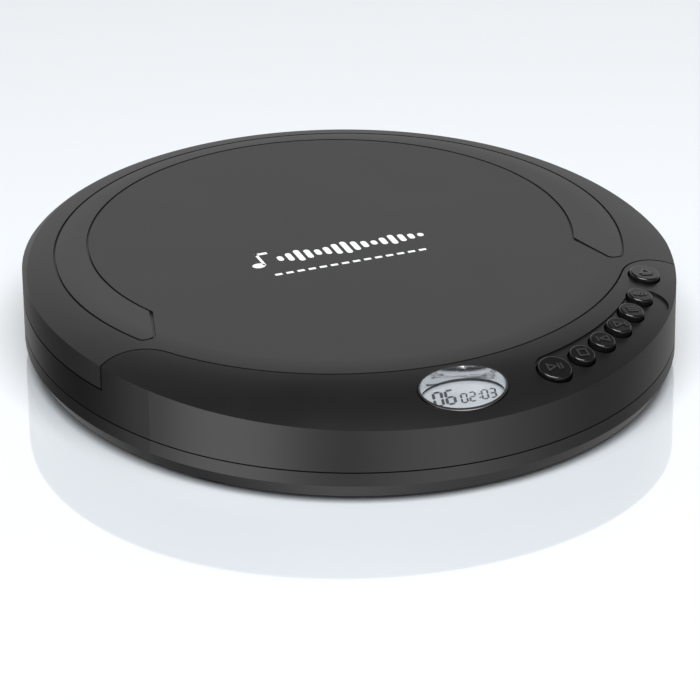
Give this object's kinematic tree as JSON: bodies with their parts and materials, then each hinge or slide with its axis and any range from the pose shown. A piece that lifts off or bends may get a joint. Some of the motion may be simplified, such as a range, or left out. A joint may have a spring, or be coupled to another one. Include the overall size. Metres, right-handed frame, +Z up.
{
  "type": "portable cd player",
  "caption": "Flat oval disc player with a hinged lid and inlaid trim band, a sloped front with an oval display and round keys, and a full spindle, pickup and battery bay inside.",
  "frame": {"origin": "on the table, under the middle of the oval case", "axes": "+Z up, the display and keys face -Y, the lid hinge is at +Y, +X is the right-hand side with the sockets"},
  "size_m": [0.144, 0.154, 0.0229],
  "materials": {
    "black_case": "satin",
    "satin_case": "satin",
    "matte_lid": "fine texture",
    "trim_band": "satin",
    "inner_plastic": "moulded",
    "steel": "polished",
    "rubber": "matte",
    "dark_screw": "black zinc",
    "bright_bezel": "mirror",
    "clear_window": "clear",
    "lcd_glass": "grey display",
    "circuit_board": "solder mask",
    "jack_plastic": "gloss",
    "chip_epoxy": "matte",
    "capacitor_can": "drawn",
    "motor_can": "plated",
    "gear_plastic": "acetal",
    "pickup_cast": "cast",
    "lens_glass": "coated",
    "contact_plate": "nickel",
    "key_plastic": "satin"
  },
  "bodies": {
    "root": {"bottom_case": "black_case", "upper_case": "satin_case", "well_deck": "satin_case", "hinge_pins": "steel", "feet": "rubber", "case_screws": "dark_screw", "lcd_bezel": "bright_bezel", "lcd_window": "clear_window", "lcd_module": "lcd_glass", "tact_switches": "inner_plastic", "key_board": "circuit_board", "latch_spring": "steel", "headphone_jack": "jack_plastic", "power_jack": "jack_plastic", "hold_switch": "inner_plastic", "volume_pot": "inner_plastic", "main_board": "circuit_board", "chips": "chip_epoxy", "capacitors": "capacitor_can", "mech_plate": "inner_plastic", "dampers": "rubber", "damper_screws": "steel", "guide_rods": "steel", "spindle_motor": "motor_can", "sled_motor": "motor_can", "lid_switch": "inner_plastic", "battery_contacts": "contact_plate", "battery_springs": "contact_plate"},
    "lid": {"lid_shell": "matte_lid", "lid_trim_band": "trim_band", "lid_hook": "inner_plastic"},
    "battery_door": {"battery_door": "black_case"},
    "turntable": {"spindle_shaft": "steel", "turntable": "inner_plastic", "clamp_balls": "steel", "platter_mat": "rubber"},
    "sled": {"pickup_sled": "pickup_cast", "sled_rack": "gear_plastic"},
    "lens": {"lens_holder": "inner_plastic", "lens": "lens_glass"},
    "idler": {"idler_gear": "gear_plastic"},
    "pinion": {"motor_pinion": "gear_plastic", "motor_shaft": "steel"},
    "volume_wheel": {"volume_wheel": "satin_case"},
    "hold_slider": {"hold_slider": "satin_case"},
    "latch": {"latch_slider": "inner_plastic"},
    "open_key": {"open_key": "key_plastic"},
    "play_key": {"play_key": "key_plastic"},
    "stop_key": {"stop_key": "key_plastic"},
    "skip_back_key": {"skip_back_key": "key_plastic"},
    "skip_forward_key": {"skip_forward_key": "key_plastic"},
    "mode_key": {"mode_key": "key_plastic"},
    "program_key": {"program_key": "key_plastic"}
  },
  "joints": [
    {"name": "lid_hinge", "type": "hinge", "parent": "root", "child": "lid", "pos_m": [0, 0.0728, 0.0134], "axis": [-1, 0, 0], "range_deg": [0, 65]},
    {"name": "battery_door_slide", "type": "slide", "parent": "root", "child": "battery_door", "axis": [0, 1, 0], "range_m": [0, 0.034]},
    {"name": "turntable_spin", "type": "hinge", "parent": "root", "child": "turntable", "pos_m": [0, 0.0058, 0.018], "axis": [0, 0, 1], "continuous": true},
    {"name": "sled_slide", "type": "slide", "parent": "root", "child": "sled", "axis": [-1, 0, 0], "range_m": [0, 0.033]},
    {"name": "lens_focus", "type": "slide", "parent": "sled", "child": "lens", "axis": [0, 0, 1], "range_m": [-0.0004, 0.0004], "stiffness_N_per_m": 400},
    {"name": "idler_spin", "type": "hinge", "parent": "root", "child": "idler", "pos_m": [-0.03, -0.0155, 0.0082], "axis": [0, 0, 1], "range_deg": [0, 650]},
    {"name": "pinion_spin", "type": "hinge", "parent": "root", "child": "pinion", "pos_m": [-0.038, -0.0215, 0.0066], "axis": [0, 0, 1], "range_deg": [-2600, 0]},
    {"name": "volume_turn", "type": "hinge", "parent": "root", "child": "volume_wheel", "pos_m": [0.06034, 0.027, 0.011], "axis": [0, 0, 1], "range_deg": [0, 300]},
    {"name": "hold_slide", "type": "slide", "parent": "root", "child": "hold_slider", "axis": [0, 1, 0], "range_m": [0, 0.003]},
    {"name": "open_press", "type": "slide", "parent": "root", "child": "open_key", "axis": [-0.1466, 0.1005, -0.9841], "range_m": [0, 0.0012], "stiffness_N_per_m": 400},
    {"name": "latch_slide", "type": "slide", "parent": "root", "child": "latch", "axis": [0, -1, 0], "range_m": [0, 0.0012], "deforming": ["latch_spring"]},
    {"name": "play_press", "type": "slide", "parent": "root", "child": "play_key", "axis": [-0.0788, 0.2663, -0.9607], "range_m": [0, 0.0006], "stiffness_N_per_m": 400},
    {"name": "stop_press", "type": "slide", "parent": "root", "child": "stop_key", "axis": [-0.1044, 0.2439, -0.9642], "range_m": [0, 0.0006], "stiffness_N_per_m": 400},
    {"name": "skip_back_press", "type": "slide", "parent": "root", "child": "skip_back_key", "axis": [-0.1226, 0.2202, -0.9677], "range_m": [0, 0.0006], "stiffness_N_per_m": 400},
    {"name": "skip_forward_press", "type": "slide", "parent": "root", "child": "skip_forward_key", "axis": [-0.1365, 0.1946, -0.9713], "range_m": [0, 0.0006], "stiffness_N_per_m": 400},
    {"name": "mode_press", "type": "slide", "parent": "root", "child": "mode_key", "axis": [-0.1458, 0.1677, -0.975], "range_m": [0, 0.0006], "stiffness_N_per_m": 400},
    {"name": "program_press", "type": "slide", "parent": "root", "child": "program_key", "axis": [-0.1505, 0.1404, -0.9786], "range_m": [0, 0.0006], "stiffness_N_per_m": 400}
  ],
  "couplings": [
    {"joint": "idler_spin", "follows": "sled_slide", "rad_per_m": 333.33},
    {"joint": "pinion_spin", "follows": "sled_slide", "rad_per_m": -1333.3},
    {"joint": "latch_slide", "follows": "open_press", "ratio": 1}
  ]
}
